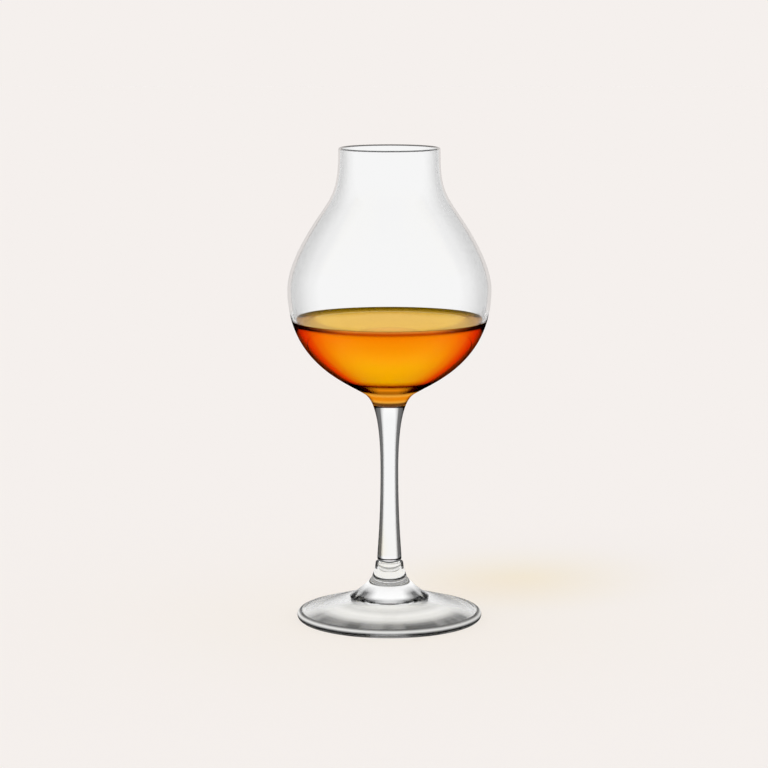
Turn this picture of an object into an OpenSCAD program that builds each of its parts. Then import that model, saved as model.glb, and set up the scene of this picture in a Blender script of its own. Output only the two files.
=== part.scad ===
// Stemmed nosing glass with a pour of whisky.
// Three glass pieces are joined hot, end to end: a pressed foot, a drawn stem and a blown bowl.
// Every piece is turned about the Z axis. The origin is the middle of the ring that the foot rests on.
// A slope is an angle from upright unless its comment says otherwise, and a pull is how far a curve
// runs along its slope at one end before it starts to bend towards the other end.

/* [Foot] */
// Width of the foot across its rounded edge
foot_d = 62.7; // [60:0.1:70]
// Height of the foot, from the table to the top of its collar
foot_h = 19.6; // [18.6:0.1:24]
// Height of the widest line of the rounded edge
foot_edge_h = 1.4; // [1.1:0.1:1.8]
// Height of the shallow cone where it turns into the rounded edge
foot_lip_h = 2.9; // [2.4:0.1:3.4]
// How far in from the widest line the shallow cone ends
foot_lip_in = 1.5; // [1:0.1:2.2]
// Width of the circle where the shallow cone meets the sweep
sweep_d = 27; // [24:0.5:32]
// Height of that circle
sweep_h = 7.7; // [6.6:0.1:8.4]
// Slope of the sweep where it meets the shallow cone
sweep_slope = 62; // [50:1:70]
// Pull of the sweep at its two ends
sweep_pull = 2.6; // [1:0.1:3.2]
// How far in from the widest line the flat ring starts that the foot rests on
foot_heel_in = 1.25; // [1:0.05:1.8]
// Width of that ring, from its outer edge to its inner edge
rest_w = 1.1; // [0.8:0.1:2]
// How far the hollow underside rises above the table at its level middle
hollow_h = 5.5; // [4.4:0.1:6.2]
// Width of the level middle
hollow_flat_d = 17; // [10:0.5:22]
// Pull of the underside outwards from the level middle
hollow_pull_in = 3; // [1:0.1:6]
// Slope of the underside where it meets the ring
hollow_slope = 74; // [70:0.5:78]
// Pull of the underside inwards from the ring
hollow_pull_out = 8; // [5:0.5:10]

/* [Collar of the foot] */
// How far the collar's top edge stands out beyond the stem
collar_out = 0.55; // [0.4:0.05:0.9]
// How far the collar spreads from its top edge to its lower end
collar_flare = 0.25; // [0.1:0.05:0.5]
// Height of the collar
collar_h = 2.3; // [1.6:0.1:3]
// Radius of the collar's top edge
collar_round = 0.3; // [0.1:0.05:0.4]
// How far the crease, where the sweep starts, stands out beyond the collar's lower end
crease_out = 1.05; // [0.7:0.05:1.4]
// Height of the short cone between the collar and the crease
crease_drop = 3; // [2:0.1:3.6]
// Slope of the sweep where it starts at the crease
crease_slope = 28; // [20:1:40]

/* [Stem] */
// Length of the stem, from the top of the collar to the bowl
stem_h = 53.8; // [48:0.2:70]
// Width of the stem at its waist
waist_d = 6; // [5:0.1:7.4]
// Height of the waist above the collar
waist_h = 31.3; // [28:0.1:33]
// Pull of the stem above its waist
waist_pull_up = 12.5; // [8:0.1:15]
// Pull of the stem below its waist
waist_pull_down = 18.6; // [12:0.1:22]
// Width of the stem at its lower end
stem_low_d = 8.2; // [7.6:0.1:8.6]
// Pull of the stem at its lower end
stem_low_pull = 3; // [1:0.1:6]
// Radius of the rounded corner at the lower end
stem_low_round = 1.2; // [0.6:0.1:1.6]
// How far the domed lower end sits down into the collar
seat_depth = 0.6; // [0.3:0.05:1]

/* [Join of stem and bowl] */
// Width of the join
join_d = 11.2; // [10.4:0.1:12.4]
// Slope of the glass at the join
join_slope = 22; // [16:1:28]
// Pull of the stem below the join
join_pull_down = 3.8; // [2:0.1:5]
// Pull of the bowl above the join
join_pull_up = 3.8; // [2.6:0.1:4.6]

/* [Base of the bowl] */
// Width of the bowl's base where it turns from the join to the belly
base_d = 20.4; // [18:0.2:24]
// Height of that turn above the join
base_h = 4.9; // [4.2:0.1:6]
// Slope of the base at that turn, from level
base_lift = 30.5; // [26:0.5:34]
// Pull of the base towards the join
base_pull_in = 1.6; // [0.8:0.1:2.2]
// Pull of the base towards the belly
base_pull_out = 7.5; // [5:0.1:9]
// Height of the bowl's inner floor above the join
floor_h = 5.8; // [5:0.1:7.4]
// How far beyond the base's turn the pull of the inner floor reaches, from the middle
floor_spread = 3.8; // [1:0.1:4.6]

/* [Belly] */
// Width of the bowl at its widest line
belly_d = 68.4; // [66:0.2:76]
// Height of the widest line above the turn of the base
belly_h = 34.2; // [32:0.2:42]
// Thickness of the glass at the widest line
belly_wall = 1.1; // [0.9:0.05:1.5]
// Pull of the belly above its widest line
belly_pull_up = 9; // [6:0.2:12]
// Pull of the belly below its widest line
belly_pull_down = 23; // [19:0.5:25]
// How much shorter that pull is for the inner wall
inner_pull_less = 1; // [0.4:0.1:2]

/* [Shoulder and neck] */
// Width of the bowl where the shoulder slopes most
shoulder_d = 43.8; // [41:0.2:50]
// Height of that place above the widest line
shoulder_h = 27.2; // [24:0.2:32]
// Slope of the shoulder there
shoulder_slope = 34.8; // [30:0.5:40]
// Pull of the shoulder towards the belly
shoulder_pull_down = 7.9; // [5:0.1:10]
// Pull of the shoulder towards the neck
shoulder_pull_up = 7.1; // [4:0.1:9]
// Height of the neck above the shoulder
neck_h = 20.3; // [18:0.1:30]
// Pull of the neck below the rim
neck_pull = 10.1; // [5:0.1:13]
// Width of the mouth across the outside of the rim
mouth_d = 34; // [31:0.2:38]
// Thickness of the fire-polished rim
rim_wall = 0.9; // [0.7:0.05:1.3]

/* [Pour] */
// Depth of the whisky over the middle of the floor
pour_depth = 22; // [10:0.2:30]
// How far the whisky climbs the glass at its edge
meniscus_h = 1.3; // [0.4:0.1:2]
// Width over which the climb dies away
meniscus_reach = 1.2; // [0.8:0.1:2]

/* [Hidden] */
$fn = 120;

// Counts of straight steps along each kind of curve
long_steps = 16;
short_steps = 8;
edge_steps = 6;
rim_steps = 10;
meniscus_steps = 6;

// The share of its length that a rounded corner's curve is pulled, close to a true arc
round_share = 0.55;
// How much of its height the meniscus still has where it is taken to be level
level_share = 0.03;

foot_r = foot_d / 2;
lip_r = foot_r - foot_lip_in;
sweep_r = sweep_d / 2;
rest_outer_r = foot_r - foot_heel_in;
rest_inner_r = rest_outer_r - rest_w;
hollow_flat_r = hollow_flat_d / 2;
waist_r = waist_d / 2;
stem_low_r = stem_low_d / 2;
seat_r = stem_low_r - stem_low_round;
collar_top_r = stem_low_r + collar_out;
collar_low_r = collar_top_r + collar_flare;
crease_r = collar_low_r + crease_out;
join_r = join_d / 2;
base_r = base_d / 2;
floor_pull = base_r + floor_spread;
belly_r = belly_d / 2;
inner_pull_down = belly_pull_down - inner_pull_less;
shoulder_r = shoulder_d / 2;
mouth_r = mouth_d / 2;

// Heights above the table, each counted on from the piece below
collar_low_z = foot_h - collar_h;
crease_z = collar_low_z - crease_drop;
waist_z = foot_h + waist_h;
join_z = foot_h + stem_h;
base_z = join_z + base_h;
floor_z = join_z + floor_h;
belly_z = base_z + belly_h;
shoulder_z = belly_z + shoulder_h;
rim_z = shoulder_z + neck_h;
pour_z = floor_z + pour_depth;

// The direction of an outline that runs downwards at an angle from upright, outwards if positive
function heading(slope) = [sin(slope), -cos(slope)];

// A cubic curve that runs downwards from one place to another, with a slope and a pull at each end
function curve(from, slope_from, pull_from, to, slope_to, pull_to, steps) =
    let (lead = from + pull_from * heading(slope_from))
    let (trail = to - pull_to * heading(slope_to))
    [for (i = [0:steps])
        let (t = i / steps, s = 1 - t)
        s * s * s * from + 3 * s * s * t * lead + 3 * s * t * t * trail + t * t * t * to];

// The same list the other way round
function reversed(points) = [for (i = [len(points) - 1:-1:0]) points[i]];

// The list without its first point, where two stretches share a point
function rest_of(points) = [for (i = [1:1:len(points) - 1]) points[i]];

// The domed seat between the stem and the collar: part of a sphere, from its edge to the axis
seat_sphere_r = (seat_r * seat_r + seat_depth * seat_depth) / (2 * seat_depth);
seat_half_angle = asin(seat_r / seat_sphere_r);
seat_points = [for (i = [0:short_steps])
    let (a = seat_half_angle * (1 - i / short_steps))
    [seat_sphere_r * sin(a), foot_h - seat_depth + seat_sphere_r * (1 - cos(a))]];

// Outline of the foot, from the seat's edge over the collar, the sweep and the cone to the table
collar_points = [for (i = [0:edge_steps])
    let (a = 90 * i / edge_steps)
    [collar_top_r - collar_round * (1 - sin(a)), foot_h - collar_round * (1 - cos(a))]];
sweep_points = curve([crease_r, crease_z], crease_slope, sweep_pull,
                     [sweep_r, sweep_h], sweep_slope, sweep_pull, long_steps);
cone_slope = atan((lip_r - sweep_r) / (sweep_h - foot_lip_h));
lip_points = curve([lip_r, foot_lip_h], cone_slope, foot_lip_in * round_share,
                   [foot_r, foot_edge_h], 0, (foot_lip_h - foot_edge_h) * round_share, edge_steps);
heel_points = curve([foot_r, foot_edge_h], 0, foot_edge_h * round_share,
                    [rest_outer_r, 0], -90, foot_heel_in * round_share, edge_steps);
// The underside, from its level middle out to the ring
hollow_points = curve([hollow_flat_r, hollow_h], 90, hollow_pull_in,
                      [rest_inner_r, 0], hollow_slope, hollow_pull_out, long_steps);

// Outline of the stem, from the join down to the seat's edge
stem_upper_points = curve([join_r, join_z], -join_slope, join_pull_down,
                          [waist_r, waist_z], 0, waist_pull_up, long_steps);
stem_lower_points = curve([waist_r, waist_z], 0, waist_pull_down,
                          [stem_low_r, foot_h + stem_low_round], 0, stem_low_pull, long_steps);
stem_end_points = [for (i = [0:edge_steps])
    let (a = 90 * i / edge_steps)
    [stem_low_r - stem_low_round * (1 - cos(a)), foot_h + stem_low_round * (1 - sin(a))]];

// Outside of the bowl, from the rim down to the join
neck_points = curve([mouth_r, rim_z - rim_wall / 2], 0, neck_pull,
                    [shoulder_r, shoulder_z], shoulder_slope, shoulder_pull_up, long_steps);
belly_upper_points = curve([shoulder_r, shoulder_z], shoulder_slope, shoulder_pull_down,
                           [belly_r, belly_z], 0, belly_pull_up, long_steps);
belly_lower_points = curve([belly_r, belly_z], 0, belly_pull_down,
                           [base_r, base_z], base_lift - 90, base_pull_out, long_steps);
base_points = curve([base_r, base_z], base_lift - 90, base_pull_in,
                    [join_r, join_z], -join_slope, join_pull_up, short_steps);

// Inside of the bowl: the wall thickens evenly from the rim to the belly, then grows into the base
shoulder_wall = rim_wall + (belly_wall - rim_wall) * neck_h / (neck_h + shoulder_h);
inner_neck_points = curve([mouth_r - rim_wall, rim_z - rim_wall / 2], 0, neck_pull,
                          [shoulder_r - shoulder_wall, shoulder_z], shoulder_slope, shoulder_pull_up,
                          long_steps);
inner_upper_points = curve([shoulder_r - shoulder_wall, shoulder_z], shoulder_slope, shoulder_pull_down,
                           [belly_r - belly_wall, belly_z], 0, belly_pull_up, long_steps);
inner_lower_points = curve([belly_r - belly_wall, belly_z], 0, inner_pull_down,
                           [0, floor_z], -90, floor_pull, long_steps);
inner_points = concat(inner_neck_points, rest_of(inner_upper_points), rest_of(inner_lower_points));

// The rim's half round, from the inside over the top to the outside
rim_points = [for (i = [0:rim_steps])
    let (a = 180 * (1 - i / rim_steps))
    [mouth_r - rim_wall / 2 + rim_wall / 2 * cos(a), rim_z - rim_wall / 2 + rim_wall / 2 * sin(a)]];

// The radius of the inner wall at a height
inner_by_height = [for (p = reversed(inner_points)) [p[1], p[0]]];
function inner_r(z) = lookup(z, inner_by_height);

// The pour's surface: level in the middle, and rising to the wall by an exponential that dies away
climb_z = pour_z + meniscus_h;
climb_r = inner_r(climb_z);
level_in = -meniscus_reach * ln(level_share);
meniscus_points = [for (i = [1:meniscus_steps])
    let (d = level_in * i / meniscus_steps)
    [climb_r - d, pour_z + meniscus_h * (exp(-d / meniscus_reach) - level_share) / (1 - level_share)]];

// Pressed foot: collar with the stem's seat, sweep, shallow cone, rounded edge and hollow underside
module foot() {
    outline = concat(reversed(seat_points), collar_points, [[collar_low_r, collar_low_z]],
                     sweep_points, lip_points, rest_of(heel_points), reversed(hollow_points),
                     [[0, hollow_h]]);
    color("gainsboro", 0.6)
    rotate_extrude()
    polygon(outline);
}

// Drawn stem: flared top, slim waist and rounded lower end with a shallow dome
module stem() {
    outline = concat([[0, join_z]], stem_upper_points, rest_of(stem_lower_points),
                     rest_of(stem_end_points), rest_of(seat_points));
    color("whitesmoke", 0.6)
    rotate_extrude()
    polygon(outline);
}

// Blown bowl: chimney neck, sloping shoulder, round belly and solid base, open at the mouth
module bowl() {
    outer = concat(neck_points, rest_of(belly_upper_points), rest_of(belly_lower_points),
                   rest_of(base_points));
    outline = concat(outer, [[0, join_z]], reversed(inner_points), rest_of(rim_points));
    color("aliceblue", 0.35)
    rotate_extrude()
    polygon(outline);
}

// Whisky: fills the bowl up to its surface and climbs the glass a little at its edge
module whisky() {
    wetted = [for (p = inner_points) if (p[1] < climb_z) p];
    outline = concat(reversed(wetted), [[climb_r, climb_z]], meniscus_points, [[0, pour_z]]);
    color("darkorange", 0.85)
    rotate_extrude()
    polygon(outline);
}

foot();
stem();
bowl();
whisky();
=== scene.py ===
"""Whisky nosing glass: a blown bowl, a drawn stem and a pressed foot in clear glass, with a pour of whisky.

Every piece is turned about the Z axis. Its outline runs round the glass counter-clockwise, seen with the
radius to the right and the height upwards, so that its faces point outwards. Lengths are in metres.
"""
from math import atan, cos, pi, radians, sin

import bpy
import numpy as np
from bpy.props import FloatProperty, FloatVectorProperty, PointerProperty
from bpy.types import NodeSocket, Operator, Panel, PropertyGroup
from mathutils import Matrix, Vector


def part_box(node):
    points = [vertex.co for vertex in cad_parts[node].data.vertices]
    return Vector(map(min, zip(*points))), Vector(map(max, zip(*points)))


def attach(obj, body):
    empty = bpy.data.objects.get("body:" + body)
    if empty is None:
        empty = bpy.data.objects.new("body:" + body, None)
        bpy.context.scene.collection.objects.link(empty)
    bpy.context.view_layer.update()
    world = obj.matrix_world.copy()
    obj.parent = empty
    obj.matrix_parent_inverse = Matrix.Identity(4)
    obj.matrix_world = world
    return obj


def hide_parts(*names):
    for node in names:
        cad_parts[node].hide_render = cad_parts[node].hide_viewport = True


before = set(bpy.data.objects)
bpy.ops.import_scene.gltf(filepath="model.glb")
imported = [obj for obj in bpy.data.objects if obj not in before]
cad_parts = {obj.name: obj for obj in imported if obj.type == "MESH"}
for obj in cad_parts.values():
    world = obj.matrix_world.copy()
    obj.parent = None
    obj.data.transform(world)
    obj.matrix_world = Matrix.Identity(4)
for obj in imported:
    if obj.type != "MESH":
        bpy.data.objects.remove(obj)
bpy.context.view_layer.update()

bl_info = {
    "name": "Whisky nosing glass",
    "version": (1, 0, 0),
    "blender": (4, 5, 0),
    "location": "3D View > Sidebar > Nosing Glass",
    "description": "Makes a stemmed nosing glass with a pour of whisky, on a pale studio floor",
    "category": "Add Mesh",
}

BODY = "root"
MM = 0.001
RIGHT_ANGLE = pi / 2
# How far a piece may stand out of the CAD node's box
SLACK = 0.4 * MM
# Places closer than this are one place
TOUCHING = 1e-7
# Steps of an outline's long curves, straight stretches, short curves, edges and small corners
CURVE_STEPS, STRAIGHT_STEPS, SHORT_STEPS, EDGE_STEPS, CORNER_STEPS = 40, 24, 16, 12, 8
# The share of its length that a rounded corner's curve is pulled, close to a true arc
ROUND_SHARE = 0.55
# How much of its height the whisky's climb still has where it is taken to be level
LEVEL_SHARE = 0.03
# How far the shade in the whisky reaches up from its floor, and down and up from its surface
FLOOR_SHADE, SHADE_BELOW, SHADE_ABOVE = 6 * MM, 11.2 * MM, 1 * MM
# How far the band of painted brown shade in the wall reaches below and above the whisky's upper edge
TIP_SHADE_BELOW, TIP_SHADE_ABOVE = 2 * MM, 4 * MM
# How many times light may bend or go through on its way through the glass
BOUNCES = 24
# Width of the camera's sensor, in millimetres
SENSOR_W = 36


def gray(value):
    """A gray of one linear value."""
    return (value,) * 3


BLACK, WHITE = gray(0), gray(1)
# The floor and the lower sky, as they show in the glass
ROOM = gray(0.92)


def size_mm(name, default, description):
    """A length that the user can change, given in millimetres and kept in metres."""
    return FloatProperty(name=name, description=description, default=default * MM, min=0, unit="LENGTH",
                         precision=5)


def length_m(name, default, description):
    """A length that the user can change, in metres."""
    return FloatProperty(name=name, description=description, default=default, unit="LENGTH")


def angle_deg(name, default, description):
    """An angle that the user can change, given in degrees and kept in radians."""
    return FloatProperty(name=name, description=description, default=radians(default), subtype="ANGLE")


def number(name, default, description):
    """A plain number that the user can change."""
    return FloatProperty(name=name, description=description, default=default)


def colour(name, default, description):
    """A linear colour that the user can change."""
    return FloatVectorProperty(name=name, description=description, default=default, size=3, min=0, max=1,
                               subtype="COLOR")


class FootSizes(PropertyGroup):
    """Sizes of the pressed foot"""
    width: size_mm("Width", 62.7, "Across the rounded edge")
    height: size_mm("Height", 19.6, "From the table to the top of the collar")
    edge_h: size_mm("Edge height", 1.4, "Height of the widest line of the rounded edge")
    lip_h: size_mm("Lip height", 2.9, "Height where the shallow cone turns into the edge")
    lip_in: size_mm("Lip inset", 1.5, "How far in from the widest line the cone ends")
    sweep_w: size_mm("Sweep width", 27, "Circle where the shallow cone meets the sweep")
    sweep_h: size_mm("Sweep height", 7.7, "Height of that circle")
    sweep_slope: angle_deg("Sweep slope", 62, "Angle from upright where the sweep meets the cone")
    sweep_pull: size_mm("Sweep pull", 2.6, "How far the sweep runs straight at its ends")
    heel_in: size_mm("Heel inset", 1.25, "How far the ring that the foot rests on lies in from the edge")
    rest_w: size_mm("Ring width", 1.1, "Width of that ring")
    hollow_h: size_mm("Hollow", 5.5, "How far the underside rises at its middle")
    hollow_flat_w: size_mm("Hollow flat width", 17, "Width of the level middle of the underside")
    hollow_slope: angle_deg("Hollow slope", 74, "Angle from upright where the hollow meets the ring")
    hollow_pull_in: size_mm("Hollow pull in", 3, "How far the underside runs level beyond its flat middle")
    hollow_pull_out: size_mm("Hollow pull out", 8, "How far it runs straight inwards from the ring")
    collar_out: size_mm("Collar ledge", 0.55, "How far the collar's top edge stands out beyond the stem")
    collar_flare: size_mm("Collar flare", 0.25, "How far the collar spreads towards its lower end")
    collar_h: size_mm("Collar height", 2.3, "Height of the collar")
    collar_round: size_mm("Collar rounding", 0.3, "Radius of the collar's top edge")
    crease_out: size_mm("Crease ledge", 1.05, "How far the sweep's crease stands out beyond the collar")
    crease_drop: size_mm("Crease drop", 3, "Height of the short cone above the crease")
    crease_slope: angle_deg("Crease slope", 28, "Angle from upright where the sweep starts")


class StemSizes(PropertyGroup):
    """Sizes of the drawn stem"""
    height: size_mm("Height", 53.8, "From the collar to the bowl")
    waist_w: size_mm("Waist width", 6, "Width at the waist")
    waist_h: size_mm("Waist height", 31.3, "Height of the waist above the collar")
    waist_pull_up: size_mm("Waist pull up", 12.5, "How far the outline runs straight above the waist")
    waist_pull_down: size_mm("Waist pull down", 18.6, "How far the outline runs straight below the waist")
    low_w: size_mm("Lower width", 8.2, "Width at the lower end")
    low_pull: size_mm("Lower pull", 3, "How far the outline runs straight at the lower end")
    low_round: size_mm("Lower rounding", 1.2, "Radius of the corner at the lower end")
    seat_depth: size_mm("Seat depth", 0.6, "How far the domed end sits down into the collar")
    join_w: size_mm("Join width", 11.2, "Width where the stem meets the bowl")
    join_slope: angle_deg("Join slope", 22, "Angle from upright at the join")
    join_pull: size_mm("Join pull", 3.8, "How far the outline runs straight on each side of the join")


class BowlSizes(PropertyGroup):
    """Sizes of the blown bowl"""
    base_w: size_mm("Base width", 20.4, "Width where the base turns into the belly")
    base_h: size_mm("Base height", 4.9, "Height of that turn above the join")
    base_lift: angle_deg("Base lift", 30.5, "Angle from level at that turn")
    base_pull_in: size_mm("Base pull in", 1.6, "How far the base runs straight towards the join")
    base_pull_out: size_mm("Base pull out", 7.5, "How far the base runs straight towards the belly")
    floor_h: size_mm("Floor height", 5.8, "Height of the inner floor above the join")
    floor_spread: size_mm("Floor spread", 3.8, "How far past the base's turn the inner floor is pulled")
    belly_w: size_mm("Belly width", 68.4, "Width at the widest line")
    belly_h: size_mm("Belly height", 34.2, "Height of the widest line above the base's turn")
    belly_wall: size_mm("Belly wall", 1.1, "Thickness of the glass at the widest line")
    belly_pull_up: size_mm("Belly pull up", 9, "How far the outline runs straight above the widest line")
    belly_pull_down: size_mm("Belly pull down", 23, "How far the outline runs straight below it")
    inner_pull_less: size_mm("Inner pull less", 1, "How much shorter that stretch is for the inner wall")
    shoulder_w: size_mm("Shoulder width", 43.8, "Width where the shoulder slopes most")
    shoulder_h: size_mm("Shoulder height", 27.2, "Height of that place above the widest line")
    shoulder_slope: angle_deg("Shoulder slope", 34.8, "Angle from upright there")
    shoulder_pull_down: size_mm("Shoulder pull down", 7.9, "How far it runs straight towards the belly")
    shoulder_pull_up: size_mm("Shoulder pull up", 7.1, "How far it runs straight towards the neck")
    neck_h: size_mm("Neck height", 20.3, "Height of the neck above the shoulder")
    neck_pull: size_mm("Neck pull", 10.1, "How far the neck runs straight below the rim")
    mouth_w: size_mm("Mouth width", 34, "Width across the outside of the rim")
    rim_wall: size_mm("Rim wall", 0.9, "Thickness of the rim")
    # Painted light: how high the base shows the whisky's colour, in painted bands
    glow_h: size_mm("Glow height", 8.5, "How far above the join the base glows with the whisky's colour")


class PourSizes(PropertyGroup):
    """Sizes of the whisky in the bowl"""
    depth: size_mm("Depth", 22, "Over the middle of the floor")
    meniscus_h: size_mm("Climb", 1.3, "How far the whisky climbs the glass at its edge")
    meniscus_reach: size_mm("Reach", 1.2, "Width over which the climb dies away")
    wetting: size_mm("Wetting", 0.28, "How far its skin is drawn into the glass, so that no air shows")


class Finish(PropertyGroup):
    """Colours and shading of the glass and the whisky"""
    glass_ior: number("Glass IOR", 1.5, "How strongly the glass bends light")
    mirror: number("Mirror", 0, "Share of its usual mirroring that glass keeps head on")
    # Painted shade: the gray that the thin wall darkens to where it is seen edge on
    bowl_edge_shade: colour("Bowl edge", gray(0.69), "What the thin wall darkens to where it is seen edge on")
    # Painted shade: the room's dark that the rim's rounded edge shows as two gray lines
    rim: colour("Rim", gray(0.42), "The rim's rounded edge")
    # Painted shade: the plain gray of the thin wall's last sliver at its outline
    bowl_outline: colour("Bowl outline", gray(0.88), "The last sliver of the thin wall")
    # Painted shade: the dark line at the join under the base
    base_shade_line: colour("Base line", (0.13, 0.05, 0.01), "The line at the join under the base")
    # Painted shade: what the stem's domed end darkens to at a glancing angle
    seat_edge_shade: colour("Seat edge", gray(0.12), "What the stem's domed end darkens to at a glancing angle")
    # Painted shade: the foot's dark outline where its rounded edge meets the floor
    heel: colour("Heel", gray(0.1), "The underside of the foot's rounded edge")
    # Painted shade: what the foot's sweep darkens to at its sides
    sweep_edge_shade: colour("Sweep edge", gray(0.04), "What the foot's sweep darkens to at its sides")
    # Painted shade: what the solid stem darkens to at its sides
    stem_edge_shade: colour("Stem edge", gray(0.03), "What the solid stem darkens to at its sides")
    # Painted shade: what the foot darkens to at a glancing angle
    foot_edge_shade: colour("Foot edge", gray(0.9), "What the foot darkens to at a glancing angle")
    # Painted shade: the dark ring in the foot's underside
    underside: colour("Underside", gray(0.012), "The dark ring in the foot's underside")
    underside_rough: number("Underside roughness", 0.12, "Softness of the pressed underside")
    underside_waves: size_mm("Underside waves", 4, "Depth of the pressed underside's shallow waves")
    shade: colour("Shade", gray(0.55), "What light keeps where it falls on glass at a glancing angle")
    whisky_ior: number("Whisky IOR", 1.36, "How strongly the whisky bends light")
    whisky: colour("Whisky", (1, 0.93, 0), "What the whisky lets through in depth")
    whisky_density: number("Whisky density", 230, "Strength of that colour, per metre")
    # Painted reflection: the surface's tan sheen where it is seen at a low angle
    whisky_top: colour("Whisky top", (0.86, 0.54, 0.15), "Its surface where it is seen at a low angle")
    # Painted light: the whisky's colour that the clear base would show by bending light, in bands
    whisky_glow: colour("Whisky glow", (0.97, 0.29, 0.005), "The whisky's colour in the base of the glass")
    whisky_pale: colour("Whisky pale", (1, 0.45, 0.05), "The paler bands there")
    # Painted shade: the dark brown in the wall just over the whisky's surface
    whisky_tip_shade: colour("Whisky tip", (0.08, 0.03, 0.01), "Its brown in the wall just over the surface")
    # Painted light: the red glow of the underside of the whisky's climb
    whisky_red_glow: colour("Whisky red", (0.95, 0.24, 0.01), "The underside of its climb up the glass")
    waviness: size_mm("Waviness", 0.4, "Depth of the faint waves of glass worked hot")


class StageSettings(PropertyGroup):
    """The camera, the floor and the light"""
    distance: length_m("Camera distance", 0.9395, "From the glass's axis")
    camera_h: length_m("Camera height", 0.2226, "Above the floor")
    tilt: angle_deg("Camera tilt", 8.604, "Angle below level")
    lens: number("Lens", 132.2, "Focal length in millimetres")
    shift: number("Shift", -0.00703, "Share of the picture's width")
    pale: colour("Background", (0.913, 0.871, 0.847), "The pale floor and backdrop")
    floor_r: length_m("Floor radius", 4, "How far the floor reaches")
    sun: number("Sun", 0.8, "Strength of the soft lamp that casts the shadow")
    sun_high: angle_deg("Sun height", 52, "Angle above level")
    sun_turn: angle_deg("Sun turn", -38, "Angle to the side from behind the camera, left if negative")
    sun_soft: angle_deg("Sun softness", 24, "Angle that the lamp spans")


def heading(slope):
    """The direction of an outline that runs downwards at an angle from upright, outwards if positive."""
    return np.array([sin(slope), -cos(slope)])


def curve(start, slope_start, pull_start, end, slope_end, pull_end, steps=CURVE_STEPS):
    """A cubic Bezier curve between two places (radius, height), with a slope and a pull at each end."""
    start, end = np.array(start, float), np.array(end, float)
    lead = start + pull_start * heading(slope_start)
    trail = end - pull_end * heading(slope_end)
    t = np.linspace(0, 1, steps + 1)[:, None]
    s = 1 - t
    return s**3 * start + 3 * s**2 * t * lead + 3 * s * t**2 * trail + t**3 * end


def arc(centre_r, centre_z, radius, turn_from, turn_to, steps):
    """An arc about (centre_r, centre_z) between two angles from the outward direction."""
    a = np.linspace(turn_from, turn_to, steps + 1)
    return np.column_stack([centre_r + radius * np.cos(a), centre_z + radius * np.sin(a)])


def apart(points):
    """Which points of an outline don't repeat the one before them."""
    return np.r_[True, np.hypot(*np.diff(points, axis=0).T) > TOUCHING]


def joined(*stretches):
    """Stretches of outline put end to end, leaving out each point that repeats the one before it."""
    points = np.vstack(stretches)
    return points[apart(points)]


def heights(scene):
    """The heights above the table at which the pieces meet or turn."""
    foot, stem, bowl, pour = scene.ng_foot, scene.ng_stem, scene.ng_bowl, scene.ng_pour
    z = {"collar": foot.height, "join": foot.height + stem.height}
    z["waist"] = foot.height + stem.waist_h
    z["base"] = z["join"] + bowl.base_h
    z["floor"] = z["join"] + bowl.floor_h
    z["belly"] = z["base"] + bowl.belly_h
    z["shoulder"] = z["belly"] + bowl.shoulder_h
    z["rim"] = z["shoulder"] + bowl.neck_h
    z["pour"] = z["floor"] + pour.depth
    z["climb"] = z["pour"] + pour.meniscus_h
    return z


def seat_outline(scene):
    """The domed seat, from the axis to its edge: part of a sphere as deep as the seat over its width."""
    stem = scene.ng_stem
    edge_r = stem.low_w / 2 - stem.low_round
    sphere_r = (edge_r**2 + stem.seat_depth**2) / (2 * stem.seat_depth)
    a = np.linspace(0, np.arcsin(edge_r / sphere_r), SHORT_STEPS + 1)
    low = scene.ng_foot.height - stem.seat_depth
    return np.column_stack([sphere_r * np.sin(a), low + sphere_r * (1 - np.cos(a))])


def foot_outline(scene):
    """The foot, from the middle of its hollow underside round the edge and over the collar to the seat.

    The underside, the edge and the sweep are Bezier curves, and the cone is straight.
    """
    foot = scene.ng_foot
    foot_r, sweep_r = foot.width / 2, foot.sweep_w / 2
    lip_r, rest_r = foot_r - foot.lip_in, foot_r - foot.heel_in
    hollow = curve((foot.hollow_flat_w / 2, foot.hollow_h), RIGHT_ANGLE, foot.hollow_pull_in,
                   (rest_r - foot.rest_w, 0), foot.hollow_slope, foot.hollow_pull_out)
    heel = curve((foot_r, foot.edge_h), 0, foot.edge_h * ROUND_SHARE,
                 (rest_r, 0), -RIGHT_ANGLE, foot.heel_in * ROUND_SHARE, EDGE_STEPS)
    cone_slope = atan((lip_r - sweep_r) / (foot.sweep_h - foot.lip_h))
    lip = curve((lip_r, foot.lip_h), cone_slope, foot.lip_in * ROUND_SHARE,
                (foot_r, foot.edge_h), 0, (foot.lip_h - foot.edge_h) * ROUND_SHARE, EDGE_STEPS)
    cone = np.linspace((lip_r, foot.lip_h), (sweep_r, foot.sweep_h), STRAIGHT_STEPS + 1)
    top_r = scene.ng_stem.low_w / 2 + foot.collar_out
    low_r, low_z = top_r + foot.collar_flare, foot.height - foot.collar_h
    sweep = curve((low_r + foot.crease_out, low_z - foot.crease_drop), foot.crease_slope, foot.sweep_pull,
                  (sweep_r, foot.sweep_h), foot.sweep_slope, foot.sweep_pull)
    collar = arc(top_r - foot.collar_round, foot.height - foot.collar_round, foot.collar_round,
                 0, RIGHT_ANGLE, CORNER_STEPS)
    return [joined([(0, foot.hollow_h)], hollow), heel[::-1], lip[::-1], cone, sweep[::-1],
            np.array([(low_r, low_z)]), collar, seat_outline(scene)[::-1]]


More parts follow.
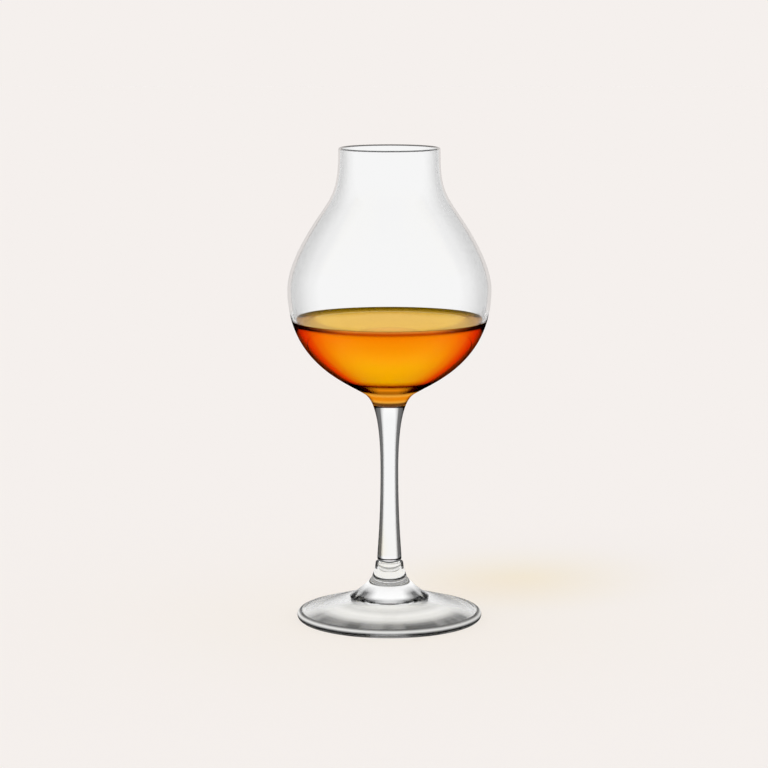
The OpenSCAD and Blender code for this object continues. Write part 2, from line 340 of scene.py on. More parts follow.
def stem_outline(scene):
    """The stem, from its domed lower end up to the join: Bezier curves that meet upright at the waist."""
    stem, z = scene.ng_stem, heights(scene)
    low_r, waist_r = stem.low_w / 2, stem.waist_w / 2
    corner = arc(low_r - stem.low_round, z["collar"] + stem.low_round, stem.low_round,
                 -RIGHT_ANGLE, 0, CORNER_STEPS)
    lower = curve((waist_r, z["waist"]), 0, stem.waist_pull_down,
                  (low_r, z["collar"] + stem.low_round), 0, stem.low_pull)
    upper = curve((stem.join_w / 2, z["join"]), -stem.join_slope, stem.join_pull,
                  (waist_r, z["waist"]), 0, stem.waist_pull_up)
    return [seat_outline(scene), corner, lower[::-1], upper[::-1], np.array([(0, z["join"])])]


def outer_bowl_outline(scene):
    """The outside of the bowl, from the middle of the join to the rim: curves that meet at one slope.

    It is in two stretches: the base as high as its glow reaches, and from there to the rim.
    """
    stem, bowl, z = scene.ng_stem, scene.ng_bowl, heights(scene)
    shoulder, belly = (bowl.shoulder_w / 2, z["shoulder"]), (bowl.belly_w / 2, z["belly"])
    base, base_slope = (bowl.base_w / 2, z["base"]), bowl.base_lift - RIGHT_ANGLE
    neck = curve((bowl.mouth_w / 2, z["rim"] - bowl.rim_wall / 2), 0, bowl.neck_pull,
                 shoulder, bowl.shoulder_slope, bowl.shoulder_pull_up)
    upper = curve(shoulder, bowl.shoulder_slope, bowl.shoulder_pull_down, belly, 0, bowl.belly_pull_up)
    lower = curve(belly, 0, bowl.belly_pull_down, base, base_slope, bowl.base_pull_out)
    under = curve(base, base_slope, bowl.base_pull_in,
                  (stem.join_w / 2, z["join"]), -stem.join_slope, stem.join_pull, SHORT_STEPS)
    outside = joined(neck, upper, lower, under, [(0, z["join"])])[::-1]
    glows = outside[:, 1] < z["join"] + bowl.glow_h
    return [outside[glows], outside[~glows]]


def inner_bowl_outline(scene):
    """The inside of the bowl, from the rim down to the floor. The wall grows from the rim to the belly."""
    bowl, z = scene.ng_bowl, heights(scene)
    way_down = bowl.neck_h / (bowl.neck_h + bowl.shoulder_h)
    shoulder_wall = bowl.rim_wall + (bowl.belly_wall - bowl.rim_wall) * way_down
    shoulder = (bowl.shoulder_w / 2 - shoulder_wall, z["shoulder"])
    belly = (bowl.belly_w / 2 - bowl.belly_wall, z["belly"])
    neck = curve((bowl.mouth_w / 2 - bowl.rim_wall, z["rim"] - bowl.rim_wall / 2), 0, bowl.neck_pull,
                 shoulder, bowl.shoulder_slope, bowl.shoulder_pull_up)
    upper = curve(shoulder, bowl.shoulder_slope, bowl.shoulder_pull_down, belly, 0, bowl.belly_pull_up)
    lower = curve(belly, 0, bowl.belly_pull_down - bowl.inner_pull_less,
                  (0, z["floor"]), -RIGHT_ANGLE, bowl.base_w / 2 + bowl.floor_spread, 2 * CURVE_STEPS)
    return np.vstack([neck, upper, lower])


def bowl_outline(scene):
    """The bowl, from the middle of the join up the outside, over the half-round rim and down the inside."""
    bowl = scene.ng_bowl
    rim_r = bowl.rim_wall / 2
    rim = arc(bowl.mouth_w / 2 - rim_r, heights(scene)["rim"] - rim_r, rim_r, 0, pi, SHORT_STEPS)
    return [*outer_bowl_outline(scene), rim, inner_bowl_outline(scene)]


def climb_radii(scene):
    """The radii at which the whisky's climb up the glass starts and ends."""
    pour = scene.ng_pour
    inside = inner_bowl_outline(scene)[::-1]
    end_r = np.interp(heights(scene)["climb"], inside[:, 1], inside[:, 0])
    return end_r + pour.meniscus_reach * np.log(LEVEL_SHARE), end_r


def whisky_outline(scene):
    """The whisky, from the middle of the floor up the wall and in over its surface.

    Above the level surface it climbs the wall by an exponential of the distance from the wall. Its skin is
    drawn a little into the glass, along the wall's own outward direction, so that no air shows.
    """
    pour, z = scene.ng_pour, heights(scene)
    inside = inner_bowl_outline(scene)[::-1]
    level_r, climb_r = climb_radii(scene)
    wall = joined(inside[inside[:, 1] < z["climb"]], [(climb_r, z["climb"])])
    along = np.gradient(wall, axis=0)
    outwards = np.column_stack([along[:, 1], -along[:, 0]]) / np.hypot(*along.T)[:, None]
    outwards[0] = (0, -1)
    skin = wall + pour.wetting * outwards
    d = np.linspace(0, climb_r - level_r, STRAIGHT_STEPS + 1)
    rise = (np.exp(-d / pour.meniscus_reach) - LEVEL_SHARE) / (1 - LEVEL_SHARE)
    climb = np.column_stack([climb_r - d, z["pour"] + pour.meniscus_h * rise])
    level = np.linspace(climb[-1], (0, z["pour"]), SHORT_STEPS + 1)
    return [skin, np.vstack([climb, level])]


def lathe(name, stretches, slots, turns=256):
    """A closed surface of revolution, with a material slot for each stretch of its outline.

    The point at radius r and height z, turned by an angle a about the Z axis, is (r cos a, r sin a, z).
    Each end of the outline lies on the axis and becomes one vertex. A face belongs to the stretch in which
    it ends, and keeps that stretch's number.
    """
    outline = np.vstack(stretches)
    number_of = np.repeat(np.arange(len(stretches)), [len(s) for s in stretches])
    kept = apart(outline)
    outline, number_of = outline[kept], number_of[kept][1:]
    r, z = outline[1:-1, 0][:, None], outline[1:-1, 1][:, None]
    a = np.linspace(0, 2 * np.pi, turns, endpoint=False)
    grid = np.stack([r * np.cos(a), r * np.sin(a), z + 0 * a], axis=-1).reshape(-1, 3)
    poles = np.column_stack([np.zeros((2, 2)), outline[[0, -1], 1]])
    ring = np.arange(len(r) - 1)[:, None] * turns
    j = np.arange(turns)
    k = np.roll(j, -1)
    quads = np.stack([ring + j, ring + k, ring + turns + k, ring + turns + j], axis=-1).reshape(-1, 4)
    last = (len(r) - 1) * turns
    first_fan = np.column_stack([np.full(turns, len(grid)), k, j])
    last_fan = np.column_stack([np.full(turns, len(grid) + 1), last + j, last + k])
    mesh = bpy.data.meshes.new(name)
    mesh.from_pydata(np.vstack([grid, poles]).tolist(), [],
                     quads.tolist() + first_fan.tolist() + last_fan.tolist())
    mesh.shade_smooth()
    stretch = np.repeat([*number_of[1:-1], number_of[0], number_of[-1]], turns)
    mesh.polygons.foreach_set("material_index", np.array(slots, np.int32)[stretch])
    mesh.attributes.new("stretch", "FLOAT", "FACE").data.foreach_set("value", stretch.astype(np.float32))
    return mesh


def place(mesh, node, materials, sharp=40):
    """Puts a piece in the scene in place of the CAD node, riding on the glass's one body.

    A piece that leaves the node's box is an error.
    """
    for material in materials:
        mesh.materials.append(material)
    mesh.set_sharp_from_angle(angle=radians(sharp))
    spots = np.empty(len(mesh.vertices) * 3)
    mesh.vertices.foreach_get("co", spots)
    spots = spots.reshape(-1, 3)
    low, high = (np.array(corner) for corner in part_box(node))
    beyond = max((low - spots.min(axis=0)).max(), (spots.max(axis=0) - high).max())
    if beyond > SLACK:
        raise ValueError(f"the {node} stands {beyond / MM:.2f} mm out of its place")
    piece = bpy.data.objects.new(node + "_clear", mesh)
    bpy.context.scene.collection.objects.link(piece)
    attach(piece, BODY)
    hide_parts(node)


def feed(tree, socket, value):
    """Links a socket to another, or sets it to a plain value. A colour is given without its alpha."""
    if isinstance(value, NodeSocket):
        tree.links.new(value, socket)
    elif socket.type == "RGBA":
        socket.default_value = (*value, 1)
    else:
        socket.default_value = value


def node(tree, kind, **inputs):
    """A shader node with its named sockets fed."""
    made = tree.nodes.new(kind)
    for name, value in inputs.items():
        feed(tree, made.inputs[name.replace("_", " ")], value)
    return made


def shader(tree, kind, **inputs):
    """The output of a new shader."""
    return node(tree, kind, **inputs).outputs[0]


def new_material(name):
    """An empty node material and its tree."""
    material = bpy.data.materials.new(name)
    material.use_nodes = True
    material.node_tree.nodes.clear()
    return material, material.node_tree


def finished(material, surface, **more):
    """A material with its output fed."""
    node(material.node_tree, "ShaderNodeOutputMaterial", Surface=surface, **more)
    return material


def maths(tree, operation, *values, kind="ShaderNodeMath", result="Value"):
    """A Math node, or a Vector Math one, over sockets and plain values."""
    made = tree.nodes.new(kind)
    made.operation = operation
    for socket, value in zip(made.inputs, values):
        feed(tree, socket, value)
    return made.outputs[result]


def times(tree, first, second):
    """Two amounts multiplied with each other."""
    return maths(tree, "MULTIPLY", first, second)


def inverse(tree, amount):
    """1 where an amount is 0, and 0 where it is 1."""
    return maths(tree, "SUBTRACT", 1, amount)


def ramp(tree, source, stops):
    """A colour ramp over a socket, from (position, colour) stops."""
    made = node(tree, "ShaderNodeValToRGB", Fac=source)
    elements = made.color_ramp.elements
    while len(elements) < len(stops):
        elements.new(1)
    for element, (position, shade) in zip(elements, stops):
        element.position = position
        element.color = (*shade, 1)
    return made.outputs["Color"]


def rising(tree, source, low, high):
    """0 up to a low value of a socket and 1 from a high one."""
    return ramp(tree, source, [(low, BLACK), (high, WHITE)])


def falling(tree, source, low, high):
    """1 up to a low value of a socket and 0 from a high one."""
    return ramp(tree, source, [(low, WHITE), (high, BLACK)])


def blended(tree, amount, first, second, how="MIX"):
    """Two colours mixed: the first where the amount is 0, the second where it is 1."""
    mix = tree.nodes.new("ShaderNodeMix")
    mix.data_type = "RGBA"
    mix.blend_type = how
    for name, value in (("Factor", amount), ("A", first), ("B", second)):
        feed(tree, mix.inputs[name], value)
    return mix.outputs["Result"]


def multiplied(tree, first, second):
    """Two colours multiplied with each other."""
    return blended(tree, 1, first, second, "MULTIPLY")


def tinted_where(tree, amount, tint):
    """White, or a tint as far as an amount says."""
    return blended(tree, amount, WHITE, tint)


def mixed(tree, amount, first, second):
    """A Mix Shader: the first shader where the amount is 0, the second where it is 1."""
    mix = tree.nodes.new("ShaderNodeMixShader")
    for socket, source in zip(mix.inputs, (amount, first, second)):
        feed(tree, socket, source)
    return mix.outputs["Shader"]


def between(first, second, part):
    """A plain colour part of the way from one to another."""
    return tuple(a + (b - a) * part for a, b in zip(first, second))


def spot(tree):
    """The Object coordinates."""
    return tree.nodes.new("ShaderNodeTexCoord").outputs["Object"]


def facing(tree, normal=None):
    """How far the surface, or a given direction, is turned away from a ray: 0 head on, 1 edge on."""
    weight = node(tree, "ShaderNodeLayerWeight", Blend=0.5)
    if normal:
        feed(tree, weight.inputs["Normal"], normal)
    return weight.outputs["Facing"]


def radial(tree):
    """The level direction away from the axis, and the distance from it."""
    vectors = "ShaderNodeVectorMath"
    flat = maths(tree, "MULTIPLY", spot(tree), (1, 1, 0), kind=vectors, result="Vector")
    outwards = maths(tree, "NORMALIZE", flat, kind=vectors, result="Vector")
    return outwards, maths(tree, "LENGTH", flat, kind=vectors)


def sideways(tree):
    """How far a place lies towards the sides of the glass, as a ray meets it: 0 in the middle."""
    return facing(tree, radial(tree)[0])


def height_share(tree, low, high):
    """How far up a place is between two heights: 0 at the lower one, 1 at the higher."""
    z = node(tree, "ShaderNodeSeparateXYZ", Vector=spot(tree)).outputs["Z"]
    return maths(tree, "DIVIDE", maths(tree, "SUBTRACT", z, low), high - low)


def leaving(tree, amount):
    """An amount that counts only where a ray meets the back of a face."""
    return times(tree, amount, tree.nodes.new("ShaderNodeNewGeometry").outputs["Backfacing"])


def entering(tree, amount):
    """An amount that counts only where a ray goes in through the front of a face."""
    behind = tree.nodes.new("ShaderNodeNewGeometry").outputs["Backfacing"]
    return times(tree, amount, inverse(tree, behind))


def lighting(tree):
    """1 for a ray that finds the light on something else, and 0 for one that sees the piece itself."""
    rays = tree.nodes.new("ShaderNodeLightPath")
    return maths(tree, "MAXIMUM", rays.outputs["Is Shadow Ray"], rays.outputs["Is Diffuse Ray"])


def worked_normal(tree, depth):
    """The normal of a surface worked hot, with its faint waves."""
    waves = node(tree, "ShaderNodeTexNoise", Vector=spot(tree), Scale=45, Detail=1, Roughness=0.3)
    bump = node(tree, "ShaderNodeBump", Strength=0.02, Distance=depth, Height=waves.outputs["Fac"])
    return bump.outputs["Normal"]


def clear_surface(tree, finish, ior, tint, outline=None, rough=0, waves=None):
    """Glass with a painted tint of shade that the caller gives. Its mirroring fades towards its edges, as
    in a studio with dark sides.

    Light on its way to the floor goes straight through, and loses the most where it strikes at a low angle.
    outline says how far the last sliver of a thin wall, which would only catch light, is painted a plain
    gray shade.
    """
    normal = worked_normal(tree, waves or finish.waviness)
    glass = shader(tree, "ShaderNodeBsdfPrincipled", Base_Color=tint, Roughness=rough, IOR=ior,
                   Transmission_Weight=1, Specular_Tint=gray(finish.mirror), Normal=normal)
    # Each crossing of the Principled shader's face tints light by the square root of its colour
    root = node(tree, "ShaderNodeGamma", Color=tint, Gamma=0.5).outputs["Color"]
    edge = shader(tree, "ShaderNodeBsdfRefraction", Color=root, Roughness=rough, IOR=ior, Normal=normal)
    seen = mixed(tree, entering(tree, rising(tree, facing(tree), 0.15, 0.4)), glass, edge)
    if outline:
        # Painted shade: the last sliver of the wall as plain gray
        sliver = shader(tree, "ShaderNodeBsdfTransparent", Color=finish.bowl_outline)
        first = entering(tree, rising(tree, facing(tree), 0.7, 0.76))
        last = leaving(tree, rising(tree, facing(tree), 0.29, 0.33))
        seen = mixed(tree, times(tree, maths(tree, "ADD", first, last), outline), seen, sliver)
    kept = ramp(tree, facing(tree), [(0.6, gray(0.99)), (1, finish.shade)])
    return mixed(tree, lighting(tree), seen, shader(tree, "ShaderNodeBsdfTransparent", Color=kept))


def glowing(tree, amount, shade, clear, kind="ShaderNodeBsdfDiffuse"):
    """A clear shader mixed with one that scatters light in a colour, to paint light or shade onto it. The
    floor's light still passes.
    """
    seen = times(tree, amount, inverse(tree, lighting(tree)))
    return mixed(tree, seen, clear, shader(tree, kind, Color=shade))


def glass_material(name, finish, stops):
    """Clear glass whose painted tint of shade follows how far it is turned away, from (Facing, tint) stops.
    """
    material, tree = new_material(name)
    tint = ramp(tree, facing(tree), stops)
    return finished(material, clear_surface(tree, finish, finish.glass_ior, tint))


def bowl_glass(finish, low, high):
    """Thin blown glass: a broad soft painted gray shade towards its outline, and a painted brown shade near
    the low height.

    Above the low height, the last sliver of the wall is painted a plain gray shade.
    """
    material, tree = new_material("bowl_glass")
    # How much of the painted gray shade has come where the wall is turned away that far
    grown = [(0.29, 0), (0.34, 0.14), (0.417, 0.3), (0.463, 0.46), (0.516, 0.66), (0.577, 0.83), (0.652, 1)]
    stops = [(away, between(WHITE, finish.bowl_edge_shade, part)) for away, part in grown]
    # Painted brown shade in the wall just over the whisky's surface, towards the glass's sides
    near = ramp(tree, height_share(tree, low - TIP_SHADE_BELOW, low + TIP_SHADE_ABOVE),
                [(0.05, BLACK), (0.15, WHITE), (0.28, WHITE), (0.45, BLACK)])
    brown = times(tree, near, rising(tree, facing(tree), 0.53, 0.66))
    tint = blended(tree, brown, ramp(tree, facing(tree), stops), finish.whisky_tip_shade)
    outline = rising(tree, height_share(tree, low, high), 0, 0.3)
    return finished(material, clear_surface(tree, finish, finish.glass_ior, tint, outline))


def rim_glass(finish):
    """The fire-polished rim, painted with the room's dark as two gray lines of shade that fade at its
    sides.
    """
    material, tree = new_material("rim_glass")
    tint = ramp(tree, sideways(tree), [(0.4, finish.rim), (0.9, gray(0.85))])
    return finished(material, shader(tree, "ShaderNodeBsdfTransparent", Color=tint))


def base_glass(finish, low, high):
    """The thick base, painted with bands of light and shade in the whisky's colour, as the base would bend
    it, above a painted dark line of shade at the join.

    Its upper part glows only in the middle, and is left clear towards its sides.
    """
    material, tree = new_material("base_glass")
    tint = ramp(tree, facing(tree), [(0.4, WHITE), (0.9, gray(0.8))])
    clear = clear_surface(tree, finish, finish.glass_ior, tint)
    up, aside = height_share(tree, low, high), sideways(tree)
    amber, pale = finish.whisky_glow, finish.whisky_pale
    deep = between(BLACK, amber, 0.5)
    bands = ramp(tree, up, [
        (0.06, finish.base_shade_line), (0.12, finish.base_shade_line), (0.2, pale), (0.3, amber), (0.4, amber),
        (0.5, pale), (0.61, deep), (0.7, deep), (0.82, amber), (0.93, deep)])
    # Painted shade, darker towards the base's sides
    shade = multiplied(tree, bands, ramp(tree, aside, [(0.35, WHITE), (0.7, (0.2, 0.12, 0.05))]))
    middle = ramp(tree, aside, [(0.04, WHITE), (0.1, gray(0.5)), (0.17, BLACK)])
    spread = maths(tree, "MAXIMUM", falling(tree, up, 0.58, 0.66), middle)
    amount = ramp(tree, up, [(0, BLACK), (0.05, gray(0.95)), (0.93, gray(0.95)), (1, BLACK)])
    return finished(material, glowing(tree, times(tree, amount, spread), shade, clear))


def stem_glass(finish):
    """Solid drawn glass: a clear core between two dark lines of painted shade."""
    return glass_material("stem_glass", finish, [(0.16, WHITE), (0.3, finish.stem_edge_shade)])


def collar_glass(finish):
    """The foot's collar: as the stem, with thinner lines of painted shade."""
    return glass_material("collar_glass", finish, [(0.35, WHITE), (0.5, finish.stem_edge_shade)])


def foot_glass(finish):
    """Solid pressed glass, painted a little darker in shade at a glancing angle."""
    return glass_material("foot_glass", finish, [(0.4, WHITE), (0.95, finish.foot_edge_shade)])


def heel_shade_glass(finish):
    """The underside of the rounded edge, painted in dark shade as the foot's outline where it meets the
    floor.
    """
    return glass_material("heel_shade_glass", finish, [(0.3, finish.heel), (1, between(BLACK, finish.heel, 0.5))])


def lip_glass(finish, low, high):
    """The foot's rounded edge, with a painted highlight line between two painted dark lines of shade, where
    the edge would gather light.
    """
    material, tree = new_material("lip_glass")
    tint = ramp(tree, facing(tree), [(0.4, WHITE), (0.95, finish.foot_edge_shade)])
    clear = clear_surface(tree, finish, finish.glass_ior, tint)
    up = height_share(tree, low, high)
    shade = ramp(tree, up, [(0, gray(0.12)), (0.18, gray(0.35)), (0.4, gray(0.85)), (0.6, gray(0.85)),
                            (0.85, gray(0.15)), (1, gray(0.08))])
    amount = ramp(tree, up, [(0.1, gray(0.8)), (1, gray(0.85))])
    return finished(material, glowing(tree, amount, shade, clear))


def underside_glass(finish, foot_r):
    """The pressed underside of the foot, softened by its waves, with a painted gray ring of shade and a
    painted dark one round it.

    The rings are uneven round the foot, weaker from high above, and gone where the glass mirrors all light.
    """
    material, tree = new_material("underside_glass")
    outwards, radius = radial(tree)
    waves = node(tree, "ShaderNodeTexNoise", Vector=outwards, Scale=2.6, Detail=2, Roughness=0.4)
    uneven = ramp(tree, waves.outputs["Fac"], [(0.3, gray(0.88)), (0.52, WHITE)])
    seen = ramp(tree, facing(tree), [(0.14, gray(0.6)), (0.175, WHITE), (0.235, WHITE), (0.255, BLACK)])
    clear = gray(0.98)
    rings = ramp(tree, maths(tree, "DIVIDE", radius, foot_r), [
        (0.42, clear), (0.51, gray(0.6)), (0.6, clear), (0.68, gray(0.75)), (0.73, gray(0.35)),
        (0.77, gray(0.07)), (0.82, finish.underside)])
    tint = tinted_where(tree, multiplied(tree, uneven, seen), rings)
    surface = clear_surface(tree, finish, finish.glass_ior, tint,
                            rough=finish.underside_rough, waves=finish.underside_waves)
    return finished(material, surface)


def sweep_glass(finish, low, high):
    """The sweep between the foot and its collar: a painted dark crescent of shade round its lower part, and
    clear above it.

    At its lower end the crescent crosses the middle, and above that it shows only at the sides.
    """
    material, tree = new_material("sweep_glass")
    up, aside = height_share(tree, low, high), sideways(tree)
    dark, soft = finish.sweep_edge_shade, between(BLACK, finish.sweep_edge_shade, 2)
    ends = [(0.5, dark), (0.65, gray(0.7))]
    lowest = ramp(tree, aside, [(0.005, gray(0.6)), (0.05, gray(0.3)), (0.11, soft), (0.25, dark), *ends])
    higher = ramp(tree, aside, [(0.12, WHITE), (0.24, gray(0.3)), (0.36, dark), *ends])
    crescent = blended(tree, rising(tree, up, 0.06, 0.12), lowest, higher)
    lower = falling(tree, up, 0.2, 0.36)
    within = tinted_where(tree, lower, ramp(tree, aside, [(0.3, WHITE), (0.6, gray(0.7))]))
    tint = multiplied(tree, tinted_where(tree, entering(tree, lower), crescent), within)
    return finished(material, clear_surface(tree, finish, finish.glass_ior, tint))


def seat_material(finish):
    """The stem's domed end, which shows inside the collar as a painted gray crescent of shade."""
    material, tree = new_material("domed_seat")
    tint = ramp(tree, facing(tree), [(0.7, WHITE), (0.8, finish.seat_edge_shade)])
    return finished(material, shader(tree, "ShaderNodeBsdfTransparent", Color=tint))


def join_material():
    """The face of a hot join inside the glass, which doesn't show."""
    material, tree = new_material("fused_join")
    return finished(material, shader(tree, "ShaderNodeBsdfTransparent"))


def whisky_wall(tree, finish, z):
    """Whisky against the glass: amber in the middle, with painted shade that turns red and then dark
    towards its sides, and painted shade along its edges.

    z holds the heights of the floor and of the surface.
    """
    sides = ramp(tree, sideways(tree), [
        (0.03, WHITE), (0.06, (1, 0.88, 0.6)), (0.12, (1, 0.48, 0.1)), (0.142, (1, 0.27, 0.03)),
        (0.165, (1, 0.19, 0.01)), (0.19, (1, 0.04, 0)), (0.225, (0.95, 0.007, 0)),
        (0.26, (0.1, 0.003, 0)), (0.3, (0.012, 0.0005, 0))])
    low = ramp(tree, height_share(tree, z["floor"], z["floor"] + FLOOR_SHADE), [
        (0.6, (0.16, 0.0005, 0)), (0.73, (0.85, 0.45, 0.2)), (0.86, WHITE)])
    high = ramp(tree, height_share(tree, z["pour"] - SHADE_BELOW, z["pour"] + SHADE_ABOVE), [
        (0, WHITE), (0.5, (1, 0.64, 1)), (0.8, (1, 0.44, 1)), (0.85, (0.9, 0.35, 0.5)),
        (0.91, (0.24, 0.03, 0)), (0.95, (0.35, 0.07, 0)), (1, (0.8, 0.5, 0.3))])
    shades = multiplied(tree, multiplied(tree, sides, low), high)
    within = entering(tree, falling(tree, facing(tree), 0.45, 0.55))
    return clear_surface(tree, finish, finish.whisky_ior, tinted_where(tree, within, shades))


def whisky_top(tree, finish, climb_r, z):
    """The whisky's surface: a painted tan sheen from a low angle, with painted shade browner towards the
    glass and dark where it climbs it.

    Its back turns brown further from the glass than its sides do. The underside of the climb has a painted
    red glow.
    """
    up, aside = height_share(tree, z["pour"], z["climb"]), sideways(tree)
    across = maths(tree, "DIVIDE", radial(tree)[1], climb_r)
    rays = tree.nodes.new("ShaderNodeLightPath")
    # A ray that came through glass also counts as a glossy one, so a mirrored ray is the rest of them
    mirrored = maths(tree, "SUBTRACT", rays.outputs["Is Glossy Ray"], rays.outputs["Is Transmission Ray"])
    direct = inverse(tree, maths(tree, "MAXIMUM", mirrored, 0))
    climbing = rising(tree, up, 0, 0.04)
    climb = ramp(tree, up, [
        (0.02, (0.3, 0.14, 0.01)), (0.1, (0.16, 0.06, 0.001)), (0.4, (0.05, 0.016, 0)),
        (0.8, (0.01, 0.003, 0)), (1, (0.02, 0.008, 0))])
    # Painted shade, dark where the surface climbs the glass
    climb_shade = tinted_where(tree, times(tree, entering(tree, climbing), direct), climb)
    surface = clear_surface(tree, finish, finish.whisky_ior, climb_shade)
    back = ramp(tree, across, [
        (0.55, WHITE), (0.68, (0.93, 0.9, 0.75)), (0.76, (0.86, 0.81, 0.56)), (0.84, (0.74, 0.68, 0.38)),
        (0.93, (0.55, 0.45, 0.18)), (1, (0.4, 0.25, 0.05))])
    sides = ramp(tree, across, [
        (0.8, WHITE), (0.9, (0.92, 0.88, 0.9)), (0.96, (0.7, 0.58, 0.6)), (1, (0.42, 0.33, 0.35))])
    shades = multiplied(tree, blended(tree, rising(tree, aside, 0.2, 0.6), back, sides), finish.whisky_top)
    glint = shader(tree, "ShaderNodeBsdfGlossy", Color=shades, Roughness=0.18)
    ends = times(tree, rising(tree, facing(tree), 0.7, 0.76), rising(tree, aside, 0.45, 0.65))
    ends = times(tree, ends, rising(tree, across, 0.82, 0.92))
    lowered = maths(tree, "MAXIMUM", ends, rising(tree, facing(tree), 0.74, 0.87))
    lowered = times(tree, lowered, inverse(tree, rays.outputs["Is Diffuse Ray"]))
    above = mixed(tree, entering(tree, lowered), surface, glint)
    pale = between(finish.whisky_red_glow, finish.whisky_top, 0.5)
    red = multiplied(tree, ramp(tree, up, [(0, finish.whisky_red_glow), (1, pale)]),
                     ramp(tree, aside, [(0.06, WHITE), (0.15, gray(0.3)), (0.24, gray(0.02))]))
    return glowing(tree, leaving(tree, climbing), red, above, "ShaderNodeBsdfTranslucent")


def whisky_material(finish, climb_r, z):
    """Whisky: one clear body whose colour deepens with the way that light goes through it.

    The wall is the first stretch of its outline and the top the second.
    """
    material, tree = new_material("whisky")
    stretch = tree.nodes.new("ShaderNodeAttribute")
    stretch.attribute_name = "stretch"
    wall, top = whisky_wall(tree, finish, z), whisky_top(tree, finish, climb_r, z)
    depth = shader(tree, "ShaderNodeVolumeAbsorption", Color=finish.whisky, Density=finish.whisky_density)
    return finished(material, mixed(tree, stretch.outputs["Fac"], wall, top), Volume=depth)


class NG_OT_foot(Operator):
    """Turn the pressed foot from its outline"""
    bl_idname = "nosing_glass.foot"
    bl_label = "Foot"

    def execute(self, context):
        scene = context.scene
        sizes, finish = scene.ng_foot, scene.ng_finish
        glass, under, heel, lip, sweep, collar, join = range(7)
        slots = [under, heel, lip, glass, sweep, glass, collar, join]
        mesh = lathe("foot_clear", foot_outline(scene), slots)
        place(mesh, "foot", [
            foot_glass(finish), underside_glass(finish, sizes.width / 2), heel_shade_glass(finish),
            lip_glass(finish, sizes.edge_h, sizes.lip_h), sweep_glass(finish, sizes.sweep_h, sizes.height),
            collar_glass(finish), join_material()])
        return {"FINISHED"}


class NG_OT_stem(Operator):
    """Turn the drawn stem from its outline"""
    bl_idname = "nosing_glass.stem"
    bl_label = "Stem"

    def execute(self, context):
        scene = context.scene
        glass, join, seat = range(3)
        mesh = lathe("stem_clear", stem_outline(scene), [seat, glass, glass, glass, join], turns=128)
        finish = scene.ng_finish
        place(mesh, "stem", [stem_glass(finish), join_material(), seat_material(finish)])
        return {"FINISHED"}


class NG_OT_bowl(Operator):
    """Turn the blown bowl from its outline"""
    bl_idname = "nosing_glass.bowl"
    bl_label = "Bowl"

    def execute(self, context):
        scene = context.scene
        finish, z = scene.ng_finish, heights(scene)
        glass, rim, base = range(3)
        mesh = lathe("bowl_clear", bowl_outline(scene), [base, glass, rim, glass])
        place(mesh, "bowl", [
            bowl_glass(finish, z["climb"], z["belly"]), rim_glass(finish),
            base_glass(finish, z["join"], z["join"] + scene.ng_bowl.glow_h)])
        return {"FINISHED"}


class NG_OT_whisky(Operator):
    """Fill the bowl with whisky up to its surface"""
    bl_idname = "nosing_glass.whisky"
    bl_label = "Whisky"

    def execute(self, context):
        scene = context.scene
        _, climb_r = climb_radii(scene)
        mesh = lathe("whisky_clear", whisky_outline(scene), [0, 0])
        material = whisky_material(scene.ng_finish, climb_r, heights(scene))
        place(mesh, "whisky", [material], sharp=60)
        return {"FINISHED"}


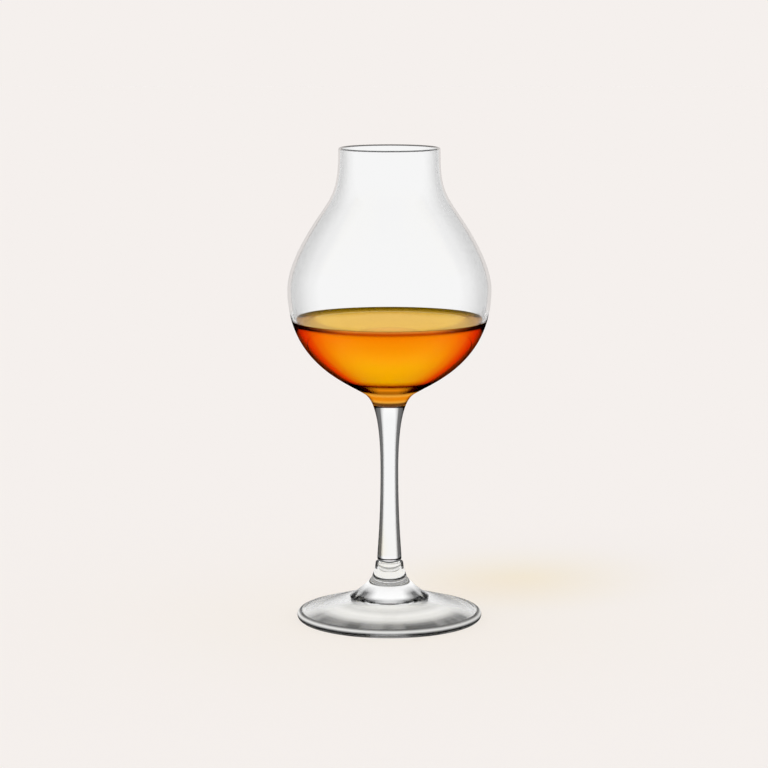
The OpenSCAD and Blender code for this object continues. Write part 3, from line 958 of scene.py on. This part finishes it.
class NG_OT_stage(Operator):
    """Set up the pale floor, the soft light and the camera"""
    bl_idname = "nosing_glass.stage"
    bl_label = "Stage"

    def execute(self, context):
        scene = context.scene
        stage = scene.ng_stage
        scene.view_settings.view_transform = "Standard"
        scene.cycles.max_bounces = BOUNCES
        scene.cycles.transmission_bounces = BOUNCES
        scene.cycles.transparent_max_bounces = BOUNCES
        self.add_floor(scene, stage)
        self.add_world(scene, stage)
        self.add_sun(scene, stage)
        self.add_camera(scene, stage)
        return {"FINISHED"}

    def add_floor(self, scene, stage):
        """The floor: one colour for the camera, and the room's for light and for what the glass shows."""
        mesh = bpy.data.meshes.new("floor")
        r = stage.floor_r
        mesh.from_pydata([(-r, -r, 0), (r, -r, 0), (r, r, 0), (-r, r, 0)], [], [(0, 1, 2, 3)])
        floor = bpy.data.objects.new("floor", mesh)
        scene.collection.objects.link(floor)
        material, tree = new_material("pale_floor")
        rays = tree.nodes.new("ShaderNodeLightPath")
        through = shader(tree, "ShaderNodeBsdfDiffuse", Color=ROOM)
        seen = shader(tree, "ShaderNodeBsdfDiffuse", Color=stage.pale)
        mesh.materials.append(finished(material, mixed(tree, rays.outputs["Is Camera Ray"], through, seen)))

    def add_world(self, scene, stage):
        """The studio: a plain backdrop for the camera, and a sky for the glass that is darker high up.

        A lamp all round gives the floor the share of its light that the sun leaves.
        """
        world = bpy.data.worlds.new("studio")
        world.use_nodes = True
        scene.world = world
        tree = world.node_tree
        tree.nodes.clear()
        rays = tree.nodes.new("ShaderNodeLightPath")
        direction = tree.nodes.new("ShaderNodeTexCoord").outputs["Generated"]
        up = node(tree, "ShaderNodeSeparateXYZ", Vector=direction).outputs["Z"]
        sky = ramp(tree, up, [(0.05, ROOM), (0.3, WHITE), (0.75, WHITE), (0.95, gray(0.6))])
        sun_share = stage.sun * sin(stage.sun_high) / pi
        lamp = shader(tree, "ShaderNodeBackground", Color=WHITE, Strength=1 - sun_share)
        through = shader(tree, "ShaderNodeBackground", Color=sky)
        seen = shader(tree, "ShaderNodeBackground", Color=stage.pale)
        bent = maths(tree, "MAXIMUM", rays.outputs["Is Glossy Ray"], rays.outputs["Is Transmission Ray"])
        unseen = mixed(tree, bent, lamp, through)
        surface = mixed(tree, rays.outputs["Is Camera Ray"], unseen, seen)
        node(tree, "ShaderNodeOutputWorld", Surface=surface)

    def add_sun(self, scene, stage):
        """The soft lamp, which shows in no glass."""
        data = bpy.data.lights.new("soft_sun", "SUN")
        data.energy, data.angle = stage.sun, stage.sun_soft
        lamp = bpy.data.objects.new("soft_sun", data)
        lamp.visible_glossy = lamp.visible_transmission = False
        lamp.rotation_euler = (RIGHT_ANGLE - stage.sun_high, 0, stage.sun_turn)
        scene.collection.objects.link(lamp)

    def add_camera(self, scene, stage):
        """The camera, in front of the glass and tilted a little down."""
        data = bpy.data.cameras.new("camera")
        data.lens, data.shift_x, data.sensor_width = stage.lens, stage.shift, SENSOR_W
        camera = bpy.data.objects.new("camera", data)
        camera.location = (0, -stage.distance, stage.camera_h)
        camera.rotation_euler = (RIGHT_ANGLE - stage.tilt, 0, 0)
        scene.collection.objects.link(camera)
        scene.camera = camera


class NG_PT_panel(Panel):
    """The pieces of the nosing glass"""
    bl_idname = "NG_PT_panel"
    bl_label = "Nosing Glass"
    bl_space_type = "VIEW_3D"
    bl_region_type = "UI"
    bl_category = "Nosing Glass"

    def draw(self, context):
        for operator in OPERATORS:
            self.layout.operator(operator.bl_idname)


GROUPS = {"ng_foot": FootSizes, "ng_stem": StemSizes, "ng_bowl": BowlSizes, "ng_pour": PourSizes,
          "ng_finish": Finish, "ng_stage": StageSettings}
OPERATORS = [NG_OT_foot, NG_OT_stem, NG_OT_bowl, NG_OT_whisky, NG_OT_stage]
CLASSES = [*GROUPS.values(), *OPERATORS, NG_PT_panel]


def register():
    for cls in CLASSES:
        bpy.utils.register_class(cls)
    for name, group in GROUPS.items():
        setattr(bpy.types.Scene, name, PointerProperty(type=group))


def unregister():
    for name in GROUPS:
        delattr(bpy.types.Scene, name)
    for cls in reversed(CLASSES):
        bpy.utils.unregister_class(cls)


def main():
    register()
    bpy.ops.nosing_glass.foot()
    bpy.ops.nosing_glass.stem()
    bpy.ops.nosing_glass.bowl()
    bpy.ops.nosing_glass.whisky()
    bpy.ops.nosing_glass.stage()


if __name__ == "__main__":
    main()
